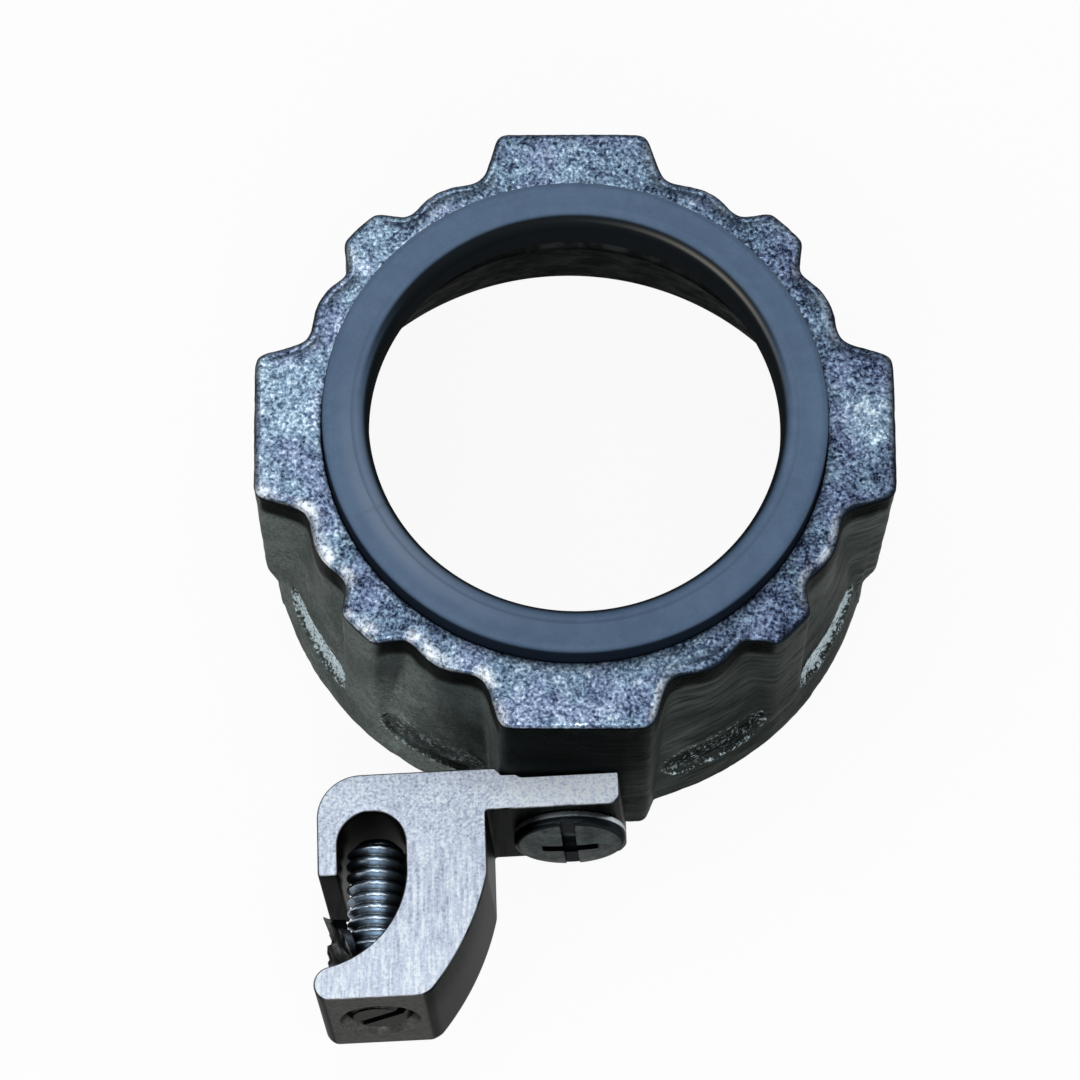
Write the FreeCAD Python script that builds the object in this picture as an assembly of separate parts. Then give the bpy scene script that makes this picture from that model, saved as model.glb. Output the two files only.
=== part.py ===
import FreeCAD, Part
import math
import os

V = FreeCAD.Vector
UP = V(0, 0, 1)
ORIGIN = V(0, 0, 0)

# Driving sizes of the cast body, in mm
body_height = 30.0
conduit_dia = 48.26       # nominal outside diameter of the conduit's thread
conduit_gap = 0.07        # radial room over that thread's crest
liner_ledge = 1.4         # ledge between the thread and the liner's seat
rim_wall = 3.5            # top face left between the liner's seat and the wall
wall_flare = 2.2          # the wall between the lobes widens this much towards the bottom
flare_level = 20.8        # and starts to widen at this height
lobe_depth = 3.4          # a lobe's flat end stands this far off the wall
lobe_width = 15.5         # across the flat end, between sharp corners
lobe_foot = 18.34         # across the same lobe where it leaves the wall
lobe_corner = 1.8
lobe_root = 2.0
rib_depth = 2.0
rib_width = 4.6
rib_foot = 7.9
rib_corner = 1.0
rib_root = 2.0
top_bevel = 0.7
base_bevel = 0.6
lobe_count = 4

# Thread zone, skirt and the seat cut for the liner
seat_depth = 2.0
thread_length = 8.6
skirt_step = 0.7          # the skirt starts this much wider than the thread
skirt_wall = 2.0          # wall left at the bottom edge

# Shallow label pockets, one on each side of every lobe, left bare
pocket_angle = 29.0       # from the lobe's centre line
pocket_length = 11.4
pocket_height = 4.6
pocket_depth = 0.5
pocket_level = 7.4

# Insulating liner
liner_proud = 3.0
liner_gap = 0.06
liner_wall = 4.74         # from the throat to the liner's outside
lip_round = 1.5
lip_bands = 3             # conical bands that the rounded lip is turned in
liner_edge = 0.4

# Lay-in lug: an extruded profile, drawn about the lug screw's axis
lug_width = 13.6
tang_thick = 3.45
tang_reach = 5.5
tang_chamfer = 0.7
neck_reach = 8.1          # screw axis to the block's near side
block_wall = 8.2          # near side of the block to the channel
channel_width = 6.9
hook_wall = 2.05
hook_drop = 9.7           # tang face to the hook's free end
back_step = 1.1           # the block's back stands this far behind the tang face
back_round = 4.5
saddle_drop = 2.95        # tang face to the top of the channel's arch
arm_drop = 22.9           # tang face to the arm's front face
arm_tip = 3.5             # thickness of the arm at its tip
prop_height = 0.7         # small ridge that props the tang off its lobe
prop_place = 5.8

# How the lug lies on its lobe, in degrees
lug_roll = -4.35
lug_yaw = 1.4
lug_pitch = -3.0
lug_level = 9.2
lug_shift = -0.55         # screw axis from the lobe's centre line
lug_stand = 0.4           # screw axis point of the tang, in front of the lobe's flat
lug_side_gap = 0.5

# Screws
screw_dia = 6.35
screw_gap = 0.1           # radial room of a shank in its hole
screw_break = 0.5         # broken edge at a screw's plain end
clamp_length = 18.6
clamp_tip_gap = 1.1       # clamp screw's tip to the top of the arch
clamp_point = 1.3
clamp_slot = 1.1
clamp_slot_depth = 1.6
clamp_sink = 0.8
head_dia = 11.4
head_height = 2.0
head_rim = 1.5
head_bands = 3            # conical bands of its domed top
head_slot = 1.4
head_slot_depth = 0.7     # of the slot right across the head
head_cross = 5.6
head_cross_depth = 1.6    # of the cross in its middle
lug_screw_grip = 4.4      # length of its shank inside the lobe

# Sizes that follow from those above
thread_radius = conduit_dia / 2 + conduit_gap
liner_seat_radius = thread_radius + liner_ledge
recess_top = liner_seat_radius + rim_wall
base_radius = recess_top + wall_flare
lobe_reach = recess_top + lobe_depth
rib_reach = recess_top + rib_depth
seat_level = body_height - seat_depth
thread_floor = seat_level - thread_length
skirt_top = thread_radius + skirt_step
skirt_base = base_radius - skirt_wall
liner_top = body_height + liner_proud
liner_radius = liner_seat_radius - liner_gap
throat_radius = liner_radius - liner_wall
screw_radius = screw_dia / 2
hole_radius = screw_radius + screw_gap
channel_right = -(neck_reach + block_wall)
channel_left = channel_right - channel_width
hook_left = channel_left - hook_wall
clamp_x = channel_right - channel_width / 2
arch_radius = channel_width / 2
arch_y = -saddle_drop - arch_radius
clamp_tip = -saddle_drop - clamp_tip_gap


def lug_place():
    # roll about the lobe's normal, after the yaw on the ridge, then the pitch
    turn = FreeCAD.Rotation(V(1, 0, 0), lug_pitch)
    turn = turn.multiply(FreeCAD.Rotation(V(0, 1, 0), lug_roll))
    turn = turn.multiply(FreeCAD.Rotation(UP, lug_yaw))
    return FreeCAD.Placement(V(lug_shift, -lobe_reach - lug_stand, lug_level), turn)


def placed(shape):
    shape.Placement = lug_place().multiply(shape.Placement)
    return shape


def turned(shape, degrees):
    out = shape.copy()
    out.rotate(ORIGIN, UP, degrees)
    return out


def spoke(reach, width, foot, root):
    # a tapering block along +X, from inside the wall out to its flat end
    leave = math.sqrt(recess_top ** 2 - (foot / 2) ** 2)
    lean = (foot - width) / 2 / (reach - leave)
    inner = leave - root
    half = foot / 2 + lean * root
    ends = [V(inner, -half, 0), V(reach, -width / 2, 0), V(reach, width / 2, 0), V(inner, half, 0)]
    return Part.Face(Part.makePolygon(ends + [ends[0]])).extrude(V(0, 0, body_height))


def upright_edges(shape, radius, low, high):
    # full-height edges at this radius, between two angles from the nearest lobe's centre line
    step = 360.0 / lobe_count
    found = []
    for edge in shape.Edges:
        ends = [v.Point for v in edge.Vertexes]
        if len(ends) != 2 or abs(abs(ends[0].z - ends[1].z) - body_height) > 0.01:
            continue
        if abs(math.hypot(ends[0].x, ends[0].y) - radius) > 0.05:
            continue
        turn = math.degrees(math.atan2(ends[0].y, ends[0].x)) % step
        if low <= min(turn, step - turn) <= high:
            found.append(edge)
    return found


def castellated_blank():
    blank = Part.makeCylinder(recess_top, body_height)
    step = 360.0 / lobe_count
    for k in range(lobe_count):
        blank = blank.fuse(turned(spoke(lobe_reach, lobe_width, lobe_foot, lobe_root), k * step))
        blank = blank.fuse(turned(spoke(rib_reach, rib_width, rib_foot, rib_root), (k + 0.5) * step))
    blank = blank.removeSplitter()
    split = step * 0.3
    lobe_tip = math.hypot(lobe_reach, lobe_width / 2)
    rib_tip = math.hypot(rib_reach, rib_width / 2)
    blank = blank.makeFillet(lobe_root, upright_edges(blank, recess_top, 0, split))
    blank = blank.makeFillet(rib_root, upright_edges(blank, recess_top, split, step))
    blank = blank.makeFillet(lobe_corner, upright_edges(blank, lobe_tip, 0, split))
    return blank.makeFillet(rib_corner, upright_edges(blank, rib_tip, split, step))


def bevelled_top(blank):
    rim = []
    for edge in blank.Edges:
        box = edge.BoundBox
        if box.ZMin > body_height - 0.001 and box.ZMax < body_height + 0.001:
            rim.append(edge)
    return blank.makeChamfer(top_bevel, rim)


def flare_radius(level):
    return recess_top + wall_flare * (flare_level - level) / (flare_level - base_bevel)


def flare():
    # the wall between the lobes widens towards the bottom edge
    base = base_radius
    rise = body_height - top_bevel
    top = V(flare_radius(rise), 0, rise)
    profile = [V(0, 0, 0), V(base - base_bevel, 0, 0), V(base, 0, base_bevel), top, V(0, 0, rise)]
    face = Part.Face(Part.makePolygon(profile + [profile[0]]))
    return face.revolve(ORIGIN, UP, 360)


def pocket():
    # a bar with round ends, cut radially to a floor that follows the flare
    half = pocket_length / 2 - pocket_height / 2
    r = pocket_height / 2
    x = thread_radius
    z = pocket_level
    bottom = Part.makeLine(V(x, -half, z - r), V(x, half, z - r))
    right = Part.Arc(V(x, half, z - r), V(x, half + r, z), V(x, half, z + r)).toShape()
    top = Part.makeLine(V(x, half, z + r), V(x, -half, z + r))
    left = Part.Arc(V(x, -half, z + r), V(x, -half - r, z), V(x, -half, z - r)).toShape()
    bar = Part.Face(Part.Wire([bottom, right, top, left])).extrude(V(lobe_reach - x, 0, 0))
    low = flare_radius(0) - pocket_depth
    high = flare_radius(body_height) - pocket_depth
    floor = Part.makeCone(low, high, body_height)
    return bar.cut(floor)


def bore():
    # counterbore for the liner, thread zone and the flaring skirt below it
    profile = [
        V(0, 0, -1),
        V(skirt_base + (skirt_base - skirt_top) / thread_floor, 0, -1),
        V(skirt_top, 0, thread_floor),
        V(thread_radius, 0, thread_floor),
        V(thread_radius, 0, seat_level),
        V(liner_seat_radius, 0, seat_level),
        V(liner_seat_radius, 0, body_height + 1),
        V(0, 0, body_height + 1),
    ]
    face = Part.Face(Part.makePolygon(profile + [profile[0]]))
    return face.revolve(ORIGIN, UP, 360)


def bushing_body():
    body = bevelled_top(castellated_blank()).fuse(flare())
    step = 360.0 / lobe_count
    for k in range(lobe_count):
        for side in (-1, 1):
            body = body.cut(turned(pocket(), k * step + side * pocket_angle))
    body = body.cut(bore())
    through = tang_thick + lug_stand + lobe_reach - thread_radius
    hole = placed(Part.makeCylinder(hole_radius, through, V(0, -tang_thick, 0), V(0, 1, 0)))
    return body.cut(hole).removeSplitter()


def insulating_liner():
    r = lip_round
    e = liner_edge
    profile = [V(throat_radius, 0, seat_level)]
    for k in range(lip_bands + 1):
        turn = math.pi / 2 * k / lip_bands
        profile.append(V(throat_radius + r - r * math.cos(turn), 0, liner_top - r + r * math.sin(turn)))
    profile.append(V(liner_radius - e, 0, liner_top))
    profile.append(V(liner_radius, 0, liner_top - e))
    profile.append(V(liner_radius, 0, seat_level))
    return Part.Face(Part.makePolygon(profile + [profile[0]])).revolve(ORIGIN, UP, 360)


def lug_profile():
    z = -lug_width / 2
    near = -neck_reach
    arm_in = -arm_drop + arm_tip
    path = []

    def p(x, y):
        return V(x, y, z)

    def line(a, b):
        path.append(Part.makeLine(a, b))

    def arc(a, b, c):
        path.append(Part.Arc(a, b, c).toShape())

    tang_end = p(tang_reach, 0)
    tang_side = p(tang_reach, -tang_thick + tang_chamfer)
    tang_cut = p(tang_reach - tang_chamfer, -tang_thick)
    neck = p(near, -tang_thick)
    bow_start = p(near, -hook_drop - 0.5)
    bow_mid = p(near - 0.45 * (block_wall - 2), -0.765 * arm_drop - 0.2)
    bow_end = p(near - 5.9, -arm_drop + 0.5)
    front_right = p(near - 6.8, -arm_drop)
    front_left = p(hook_left + 0.5, -arm_drop)
    tip_mid = p(hook_left - 0.6, -arm_drop + 0.55 * arm_tip)
    tip_end = p(channel_left - 1.2, arm_in)
    sweep_mid = p(channel_right - 2.5, -0.70 * arm_drop)
    sweep_end = p(channel_right, -hook_drop + 0.5)
    arch_right = p(channel_right, arch_y)
    arch_top = p(clamp_x, -saddle_drop)
    arch_left = p(channel_left, arch_y)
    hook_in = p(channel_left, -hook_drop)
    hook_out = p(hook_left, -hook_drop)
    round_start = p(hook_left, back_step - back_round)
    reach = back_round * (1 - math.sqrt(0.5))
    round_mid = p(hook_left + reach, back_step - reach)
    round_end = p(hook_left + back_round, back_step)
    step_back = p(near + 1.1, back_step)
    step_low = p(near + 1.4, prop_height - 0.1)
    prop_a = p(-prop_place - 0.3, prop_height)
    prop_b = p(-prop_place + 0.3, prop_height)
    prop_end = p(-prop_place + 1.3, 0)
    line(tang_end, tang_side)
    line(tang_side, tang_cut)
    line(tang_cut, neck)
    line(neck, bow_start)
    arc(bow_start, bow_mid, bow_end)
    line(bow_end, front_right)
    line(front_right, front_left)
    arc(front_left, tip_mid, tip_end)
    arc(tip_end, sweep_mid, sweep_end)
    line(sweep_end, arch_right)
    arc(arch_right, arch_top, arch_left)
    line(arch_left, hook_in)
    line(hook_in, hook_out)
    line(hook_out, round_start)
    arc(round_start, round_mid, round_end)
    line(round_end, step_back)
    line(step_back, step_low)
    line(step_low, prop_a)
    line(prop_a, prop_b)
    line(prop_b, prop_end)
    line(prop_end, tang_end)
    return Part.Face(Part.Wire(path))


def lay_in_lug():
    lug = lug_profile().extrude(V(0, 0, lug_width))
    reach = arm_drop + clamp_sink
    clamp_hole = Part.makeCylinder(hole_radius, reach - hook_drop, V(clamp_x, -reach, 0), V(0, 1, 0))
    mouth = hole_radius + clamp_sink
    sink = Part.makeCone(mouth, hole_radius, clamp_sink, V(clamp_x, -arm_drop, 0), V(0, 1, 0))
    tang_hole = Part.makeCylinder(hole_radius, 3 * tang_thick, V(0, -2 * tang_thick, 0), V(0, 1, 0))
    lug = placed(lug.cut(clamp_hole).cut(sink).cut(tang_hole))
    # the tang is dressed flush where it meets its lobe
    half = lobe_width / 2 + lug_side_gap
    seat = Part.makeBox(2 * half, lobe_reach, body_height, V(-half, -lobe_reach, 0))
    return lug.cut(seat)


def conductor_screw():
    r = screw_radius
    c = clamp_point
    tip = clamp_tip
    end = clamp_tip - clamp_length
    b = screw_break
    profile = [V(0, tip, 0), V(r - c, tip, 0), V(r, tip - c, 0)]
    profile += [V(r, end + b, 0), V(r - b, end, 0), V(0, end, 0)]
    screw = Part.Face(Part.makePolygon(profile + [profile[0]])).revolve(ORIGIN, V(0, 1, 0), 360)
    slot = Part.makeBox(4 * r, clamp_slot_depth, clamp_slot, V(-2 * r, end, -clamp_slot / 2))
    slot.rotate(ORIGIN, V(0, 1, 0), -35)
    screw = screw.cut(slot)
    screw.translate(V(clamp_x, 0, 0))
    return placed(screw)


def lug_screw():
    r = screw_radius
    seat = -tang_thick
    face = seat - head_height
    rim = seat - head_rim
    tip = lug_stand + lug_screw_grip
    crown = rim - face
    ball = ((head_dia / 2) ** 2 + crown ** 2) / (2 * crown)
    tilt = math.asin(head_dia / 2 / ball)
    b = screw_break

    def bar(width, depth, height):
        return Part.makeBox(width, depth, height, V(-width / 2, face, -height / 2))

    profile = [V(0, tip, 0), V(r - b, tip, 0), V(r, tip - b, 0), V(r, seat, 0), V(head_dia / 2, seat, 0)]
    for k in range(head_bands):
        lean = tilt * (1 - k / head_bands)
        profile.append(V(ball * math.sin(lean), face + ball * (1 - math.cos(lean)), 0))
    profile.append(V(0, face + ball * (1 - math.cos(tilt / head_bands)), 0))
    screw = Part.Face(Part.makePolygon(profile + [profile[0]])).revolve(ORIGIN, V(0, 1, 0), 360)
    screw = screw.cut(bar(head_slot, head_slot_depth, 2 * head_dia))
    screw = screw.cut(bar(head_slot, head_cross_depth, head_cross))
    return placed(screw.cut(bar(head_cross, head_cross_depth, head_slot)))


os.makedirs("parts", exist_ok=True)
for make in (bushing_body, insulating_liner, lay_in_lug, conductor_screw, lug_screw):
    make().exportStep("parts/" + make.__name__ + ".step")
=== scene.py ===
import bpy
import math
import numpy as np
from mathutils import Matrix, Vector


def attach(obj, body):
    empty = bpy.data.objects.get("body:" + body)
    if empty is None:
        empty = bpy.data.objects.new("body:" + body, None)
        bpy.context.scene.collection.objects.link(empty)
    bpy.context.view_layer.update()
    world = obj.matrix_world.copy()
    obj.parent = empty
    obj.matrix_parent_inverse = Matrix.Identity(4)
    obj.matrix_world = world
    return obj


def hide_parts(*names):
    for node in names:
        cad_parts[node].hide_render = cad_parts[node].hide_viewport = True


# Looks of a grounding bushing: plated casting, plastic throat liner, sawn lay-in lug and its two screws.
# Lengths of pieces are in millimetres and go to metres when a surface becomes a mesh. Angles are in degrees.
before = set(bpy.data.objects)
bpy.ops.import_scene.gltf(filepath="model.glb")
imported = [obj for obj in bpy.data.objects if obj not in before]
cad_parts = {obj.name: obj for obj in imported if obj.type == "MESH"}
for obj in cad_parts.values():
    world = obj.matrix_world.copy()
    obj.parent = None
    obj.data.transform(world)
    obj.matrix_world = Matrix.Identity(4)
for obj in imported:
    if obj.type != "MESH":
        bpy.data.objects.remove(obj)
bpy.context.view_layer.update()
MM = 0.001

# Casting
BODY_TOP = 30.0
RECESS = 29.1
FLARE = 2.2
FLARE_LEVEL = 20.8
BASE_BEVEL = 0.6
BASE = RECESS + FLARE
LOBE_REACH = 32.5
LOBE_WIDTH = 15.5
LOBE_FOOT = 18.34
LOBE_SOFT = 0.85
LOBE_DRAFT = 0.8
LOBE_TAPER = 8.0
RIB_REACH = 31.1
RIB_WIDTH = 4.6
RIB_FOOT = 7.9
RIB_SOFT = 0.55
SCALLOP = 0.4
WALL_BLEND = 0.3
EDGE_ROUND = 0.85
CAST_INSET = 0.02
POCKET_TURN = 29.0
POCKET_LENGTH = 11.4
POCKET_HEIGHT = 4.6
POCKET_DEPTH = 0.5
POCKET_LIP = 0.06
POCKET_LEVEL = 7.4
LINER_SEAT = 25.6
SEAT_LEVEL = 28.0
THREAD_ROOT = 24.2
THREAD_DEPTH = 1.25
THREAD_PITCH = 2.209
THREAD_FLOOR = 19.4
SKIRT_TOP = 24.9
SKIRT_BASE = 29.3

# Liner
LINER_RADIUS = 25.54
LINER_TOP = 33.0
LINER_EDGE = 0.8
THROAT = 20.8
LIP = 1.5
KNIT_LINE = 207.0
KNIT_DIP = 0.05

# Lug and screws, in the lug's own frame about the lug screw's axis
LUG_PLACE = (-0.55, -32.9, 9.2)
LUG_TURN = (-3.0, -4.35, 1.4)
LUG_WIDTH = 13.6
LUG_EDGE = 0.18
LUG_SOFT = 0.2
LUG_SEAT = 7.6
TANG_END = 5.5
TANG_THICK = 3.45
TANG_CORNER = 0.7
BLOCK_SIDE = -8.1
BLOCK_BACK = 1.1
ARM_DROP = 22.9
ARM_TIP = -19.4
CHANNEL_RIGHT = -16.3
CHANNEL_LEFT = -23.2
CHANNEL_SPRING = -6.4
CHANNEL_CROWN = -2.95
HOOK_LEFT = -25.25
HOOK_DROP = -9.7
HOOK_ROUND = 4.5
SCREW_RADIUS = 3.175
HOLE_RADIUS = 3.275
HOLE_SINK = 0.8
HOLE_DEPTH = 2.6
BURR_FOOT = -19.3
CLAMP_X = -19.75
CLAMP_TIP = -4.05
CLAMP_END = -22.65
CLAMP_PITCH = 1.27
CLAMP_RELIEF = 0.62
CLAMP_SLOT = (9.0, 3.2, 1.1)
CLAMP_SLOT_TURN = -35.0
HEAD_RADIUS = 5.7
HEAD_SEAT = -TANG_THICK
HEAD_FACE = -5.45
HEAD_RIM = 1.5
HEAD_ROUND = 0.55
HEAD_SLOT = 1.4
HEAD_SLOT_DEPTH = 0.7
HEAD_CROSS = 5.6
HEAD_CROSS_DEPTH = 1.6
SHANK_END = 4.75

# Camera: tilt of its view down onto the floor, roll, turn about the part, point looked at, distance and lens
CAMERA_TILT = 69.0
CAMERA_ROLL = -1.67
CAMERA_SPIN = -1.85
CAMERA_AIM = (-3.19, -12.68, 30.0)
CAMERA_DISTANCE = 601.0
CAMERA_LENS = 200.0

# Lamps: name, place, point lit, width, height, power and colour, in metres and watts
LAMPS = (
    ("ceiling", (0.0, 0.1, 0.95), (0, 0, 0.02), 0.9, 0.9, 2.0, (0.96, 0.98, 1.0)),
    ("key", (-0.1, 0.2, 0.46), (-0.01, 0, 0.03), 0.24, 0.22, 0.3, (0.96, 0.99, 1.0)),
    ("edge_strip", (-0.36, -0.14, 0.42), (0, -0.01, 0.03), 0.26, 0.24, 0.42, (1.0, 0.98, 0.97)),
    ("lug_fill", (-0.04, -0.4, 0.42), (-0.01, -0.045, 0.015), 0.2, 0.2, 0.9, (0.96, 0.985, 1.0)),
    ("front_fill", (0.3, -0.5, 0.22), (0, -0.03, 0.02), 0.12, 0.3, 0.2, (1.0, 1.0, 1.0)),
)


def set_in_lug(points):
    """Points given in the lug's frame, carried to the frame of the whole part: turned by the lug's yaw
    about Z, its roll about Y and its pitch about X, in that order, then moved to the lug's place."""
    pitch, roll, yaw = (math.radians(a) for a in LUG_TURN)
    turn = Matrix.Rotation(pitch, 3, "X") @ Matrix.Rotation(roll, 3, "Y") @ Matrix.Rotation(yaw, 3, "Z")
    return points @ np.array(turn).T + np.array(LUG_PLACE)


def lumps(points, cell, seed):
    """Smooth value noise from 0 to 1: seeded numbers on a cubic lattice of this cell, blended by a cubic
    ease in each direction."""
    table = np.random.default_rng(seed).random((32, 32, 32))
    scaled = points / cell
    low = np.floor(scaled).astype(int)
    part = scaled - low
    ease = part * part * (3 - 2 * part)
    total = np.zeros(points.shape[:-1])
    for corner in range(8):
        bits = np.array([corner & 1, corner >> 1 & 1, corner >> 2 & 1])
        weight = np.prod(np.where(bits, ease, 1 - ease), axis=-1)
        at = (low + bits) % 32
        total += weight * table[at[..., 0], at[..., 1], at[..., 2]]
    return total


def step_up(low, high, value):
    """Cubic ease from 0 at low to 1 at high."""
    t = np.clip((value - low) / (high - low), 0, 1)
    return t * t * (3 - 2 * t)


def bell(value, middle, width):
    """1 at the middle, falling off on both sides as a bell."""
    return np.exp(-((value - middle) / width) ** 2)


def turn_from(degrees, middle):
    """Signed angle from a middle direction, from -180 to 180."""
    return (degrees - middle + 180) % 360 - 180


def about(degrees, middle, width):
    """A bell of directions about a middle one."""
    return bell(turn_from(degrees, middle), 0, width)


def zigzag(phase):
    """Triangle wave: 1 at whole turns and 0 half way between them."""
    return np.abs(2 * (phase - np.floor(phase)) - 1)


def full_turn(count):
    """Evenly spaced angles round a whole turn, in radians."""
    return np.linspace(0, 2 * np.pi, count, endpoint=False)


def even_loop(points, count, soft):
    """A closed line walked at even spacing and softened: its coordinates are blurred along its length by a
    bell of width soft."""
    ring = np.vstack([points, points[:1]])
    run = np.concatenate([[0], np.cumsum(np.hypot(*np.diff(ring, axis=0).T))])
    fine = 8192
    at = np.linspace(0, run[-1], fine, endpoint=False)
    xy = np.stack([np.interp(at, run, ring[:, k]) for k in range(2)], -1)
    wave = np.fft.rfftfreq(fine, run[-1] / fine) * 2 * np.pi
    xy = np.fft.irfft(np.fft.rfft(xy, axis=0) * np.exp(-0.5 * (wave * soft) ** 2)[:, None], fine, axis=0)
    pick = np.arange(count) * fine / count
    index = np.arange(fine + 1)
    closed = np.vstack([xy, xy[:1]])
    return np.stack([np.interp(pick, index, closed[:, k]) for k in range(2)], -1)


def outward(loop):
    """Unit normals of a closed line that runs anticlockwise."""
    along = np.roll(loop, -1, 0) - np.roll(loop, 1, 0)
    along /= np.linalg.norm(along, axis=1, keepdims=True)
    return np.stack([along[:, 1], -along[:, 0]], -1)


def grid_faces(rows, columns, wrap_rows, wrap_columns):
    """Quads of a grid of points, as rows of four indices, closed round either way where asked."""
    i = np.arange(rows if wrap_rows else rows - 1)
    j = np.arange(columns if wrap_columns else columns - 1)
    i, j = np.meshgrid(i, j, indexing="ij")
    up, over = (i + 1) % rows, (j + 1) % columns
    quads = [i * columns + j, i * columns + over, up * columns + over, up * columns + j]
    return np.stack(quads, -1).reshape(-1, 4)


def shell_volume(points, quads):
    """Signed volume of a closed skin of quads, which is positive when its faces point outwards."""
    a, b, c, d = (points[quads[:, k]] for k in range(4))
    return (np.einsum("ij,ij->i", a, np.cross(b, c)) + np.einsum("ij,ij->i", a, np.cross(c, d))).sum() / 6


def make_piece(name, points, quads, body, node, marks=None, caps=()):
    """A mesh at the origin from points in millimetres, quads and caps, riding on a body in place of a node.
    Marks become attributes of its points. Quads and triangles are shaded smooth and many-sided caps
    flat."""
    mesh = bpy.data.meshes.new(name)
    if not caps and shell_volume(points, quads) < 0:
        quads = quads[:, ::-1]
    if caps:
        mesh.from_pydata((points * MM).tolist(), [], quads.tolist() + [list(c) for c in caps])
    else:
        mesh.vertices.add(len(points))
        mesh.vertices.foreach_set("co", (points * MM).astype(np.float32).ravel())
        mesh.loops.add(quads.size)
        mesh.loops.foreach_set("vertex_index", quads.astype(np.int32).ravel())
        mesh.polygons.add(len(quads))
        mesh.polygons.foreach_set("loop_start", np.arange(0, quads.size, 4, dtype=np.int32))
    mesh.update(calc_edges=True)
    mesh.validate()
    for mark, values in (marks or {}).items():
        layer = mesh.attributes.new(mark, "FLOAT", "POINT")
        layer.data.foreach_set("value", values.astype(np.float32).ravel())
    sides = np.zeros(len(mesh.polygons), np.int32)
    mesh.polygons.foreach_get("loop_total", sides)
    mesh.polygons.foreach_set("use_smooth", sides <= 4)
    piece = bpy.data.objects.new(name, mesh)
    bpy.context.scene.collection.objects.link(piece)
    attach(piece, body)
    if node:
        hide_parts(node)
    return piece


def castellation(count):
    """Outline seen from above: the larger of a round wall that swells a little between its teeth, four
    broad lobes and four ribs. A lobe or rib reaches to a flat end and its sides lean out to its foot, so
    its radius at an angle off its axis is the smaller of the flat end's and the leaning side's. Corners are
    softened, the lobes' more than the ribs'."""
    turn = full_turn(14400)

    def tooth(axis, reach, width, foot):
        """Radius of four like teeth, a quarter turn apart."""
        off = (turn - axis + np.pi / 4) % (np.pi / 2) - np.pi / 4
        leave = math.sqrt(RECESS ** 2 - (foot / 2) ** 2)
        lean = (foot - width) / 2 / (reach - leave)
        flat = reach / np.cos(off)
        side = (width / 2 + reach * lean) / (np.abs(np.sin(off)) + lean * np.cos(off))
        return np.minimum(flat, side)

    off = np.degrees(turn) % 90
    off = np.minimum(off, 90 - off)
    wall = RECESS + SCALLOP * (bell(off, 28, 4.2) - bell(off, 20.5, 2.6) - bell(off, 35.5, 2.6))
    lobes = tooth(0, LOBE_REACH, LOBE_WIDTH, LOBE_FOOT)
    ribs = tooth(np.pi / 4, RIB_REACH, RIB_WIDTH, RIB_FOOT)
    radius = np.maximum(wall, np.maximum(lobes, ribs))
    line = np.stack([radius * np.cos(turn), radius * np.sin(turn)], -1)
    broad, fine = (even_loop(line, count, soft) for soft in (LOBE_SOFT, RIB_SOFT))
    off = np.degrees(np.arctan2(broad[:, 1], broad[:, 0])) % 90
    share = step_up(25, 32, np.minimum(off, 90 - off))[:, None]
    return broad * (1 - share) + fine * share


def rim_glint_and_shade(loop, normal, recess):
    """Painted light and shade at the top edge round the outline, as bells of directions: how far the edge
    takes a painted highlight, how far it faces the front, how thin the highlight is, and how far the top
    face is painted dark beside the edge."""
    facing = np.degrees(np.arctan2(normal[:, 1], normal[:, 0]))
    degrees = np.degrees(np.arctan2(loop[:, 1], loop[:, 0]))
    front_lobe = step_up(14, 10, np.abs(loop[:, 0])) * step_up(-24, -26, loop[:, 1])
    forward = about(facing, -90, 14)
    # Painted highlight on edges facing these directions, never on those facing the front.
    rim_glint = np.max([
        0.95 * about(facing, -134, 32),
        about(facing, -25, 22) * front_lobe,
        0.3 * about(facing, 20, 26),
        0.9 * about(degrees, -29, 8),
    ], axis=0) * (1 - forward)
    thin = step_up(-6, 4, loop[:, 0])
    # Painted shade on the top face beside edges facing the back, and at two places in front.
    dark_side = np.max([
        (0.45 + 0.55 * recess) * step_up(0.0, 0.6, normal[:, 1]),
        about(degrees, -62, 10),
        0.6 * about(degrees, -41, 6),
    ], axis=0)
    return rim_glint, forward, thin, dark_side


def casting_tones(grid):
    """Broad changes round the casting, each a level with bells of directions added: how bright the
    plating's crystals are, as random tone with painted light and shade by direction and a painted glint
    patch on the right lobe, the painted light and shade on the dull wall by direction and height, and
    how far it is drawn with lines."""
    x, y, z = np.moveaxis(grid, -1, 0)
    turn = np.degrees(np.arctan2(y, x))
    # Painted glint patch on the right lobe.
    patch = bell(np.hypot((x - 29.6) / 2.4, (y - 0.4) / 3.6), 0, 1)
    # Random tone with painted light and shade by direction.
    crystal_tone_and_light = (0.5 + 0.06 * np.cos(np.radians(turn - 172)) - 0.05 * about(turn, -42, 24)
               - 0.06 * about(turn, 35, 40) + 0.08 * about(turn, -90, 20) - 0.1 * about(turn, -138, 22)
               + 0.34 * patch + 0.1 * (lumps(grid, 3.1, 21) - 0.5))
    # Painted light and shade on the dull wall, by direction and height.
    wall_light_and_shade = (1.0 + 0.9 * about(turn, 186, 34) + 1.2 * about(turn, -122, 26)
            - 0.35 * about(turn, -52, 22) + 0.2 * about(turn, 0, 22)
            + 0.3 * about(turn, -24, 32) * (bell(z, 23, 4.5) - 0.6 * bell(z, 5, 6)))
    drawn = step_up(-0.5, 0.4, np.cos(np.radians(turn)))
    return {"crystal_tone_and_light": crystal_tone_and_light, "wall_light_and_shade": wall_light_and_shade, "drawn": drawn}


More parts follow.
